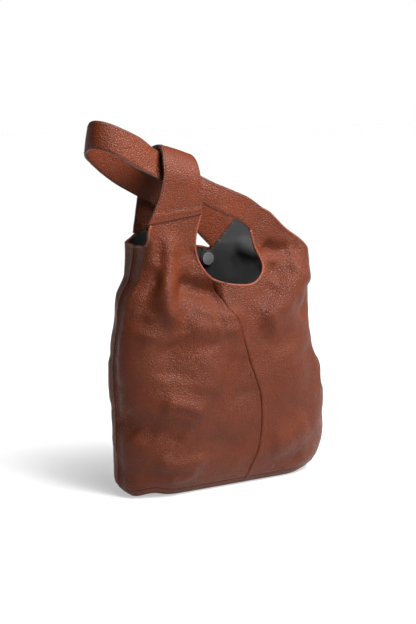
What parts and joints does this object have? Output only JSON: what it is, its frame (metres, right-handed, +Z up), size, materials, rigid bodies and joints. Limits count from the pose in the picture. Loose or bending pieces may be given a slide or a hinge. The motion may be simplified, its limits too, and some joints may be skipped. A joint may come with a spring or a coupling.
{
  "type": "leather knot tote bag",
  "caption": "Soft leather shoulder bag standing filled: short closed handle, long handle threaded through it, round mouth, dark lining, magnet and zip pocket.",
  "frame": {"origin": "on the floor, under the middle of the base", "axes": "+Z up, -Y out of the front, +X to the right seen from the front"},
  "size_m": [0.3701, 0.1323, 0.5173],
  "materials": {
    "body_leather": "pebbled, semi-gloss",
    "handle_leather": "pebbled, semi-gloss",
    "edge_leather": "turned edge, semi-gloss",
    "handle_filler": "bonded reinforcement",
    "lining_cloth": "plain woven, matt",
    "magnet_metal": "satin",
    "zip_metal": "antique",
    "zip_tape": "woven tape"
  },
  "bodies": {
    "bag": {"back_left_panel": "body_leather", "back_lining": "lining_cloth", "back_magnet": "magnet_metal", "back_magnet_patch": "handle_leather", "back_mouth_binding": "edge_leather", "back_right_panel": "body_leather", "base_lining": "lining_cloth", "base_panel": "body_leather", "front_left_panel": "body_leather", "front_lining": "lining_cloth", "front_magnet": "magnet_metal", "front_magnet_patch": "handle_leather", "front_mouth_binding": "edge_leather", "front_right_panel": "body_leather", "left_side_binding": "edge_leather", "long_handle_back_leg": "handle_leather", "long_handle_bend": "handle_leather", "long_handle_front_leg": "handle_leather", "long_handle_leg_backing": "handle_leather", "long_handle_leg_filler": "handle_filler", "pocket_pouch": "lining_cloth", "pocket_zip_stops": "zip_metal", "pocket_zip_tapes": "zip_tape", "pocket_zip_teeth": "zip_metal", "right_side_binding": "edge_leather", "short_handle_bend": "handle_leather", "short_handle_sewn_backing": "handle_leather", "short_handle_sewn_ends": "handle_leather", "short_handle_sewn_filler": "handle_filler"},
    "short_handle": {"short_handle_ring": "handle_leather", "short_handle_ring_backing": "handle_leather", "short_handle_ring_filler": "handle_filler"},
    "long_handle_loop": {"long_handle_loop": "handle_leather", "long_handle_loop_backing": "handle_leather", "long_handle_loop_filler": "handle_filler"},
    "zip_slider": {"pocket_zip_slider": "zip_metal"},
    "zip_pull": {"pocket_zip_pull": "zip_metal"}
  },
  "joints": [
    {"name": "short_handle_tilt", "type": "hinge", "parent": "bag", "child": "short_handle", "pos_m": [-0.075, 0, 0.419], "axis": [0, 1, 0], "range_deg": [0, 12], "stiffness_Nm_per_rad": 0.6, "deforming": ["short_handle_bend"]},
    {"name": "long_handle_lift", "type": "hinge", "parent": "bag", "child": "long_handle_loop", "pos_m": [-0.102, 0, 0.464], "axis": [0, 1, 0], "range_deg": [-15, 30], "stiffness_Nm_per_rad": 0.6, "springref_deg": 1.72, "deforming": ["long_handle_bend"]},
    {"name": "zip_slide", "type": "slide", "parent": "bag", "child": "zip_slider", "axis": [1, 0, 0], "range_m": [0, 0.074]},
    {"name": "zip_pull_swing", "type": "hinge", "parent": "zip_slider", "child": "zip_pull", "pos_m": [-0.037, 0.04301, 0.248], "axis": [-1, 0, 0], "range_deg": [0, 100]}
  ]
}
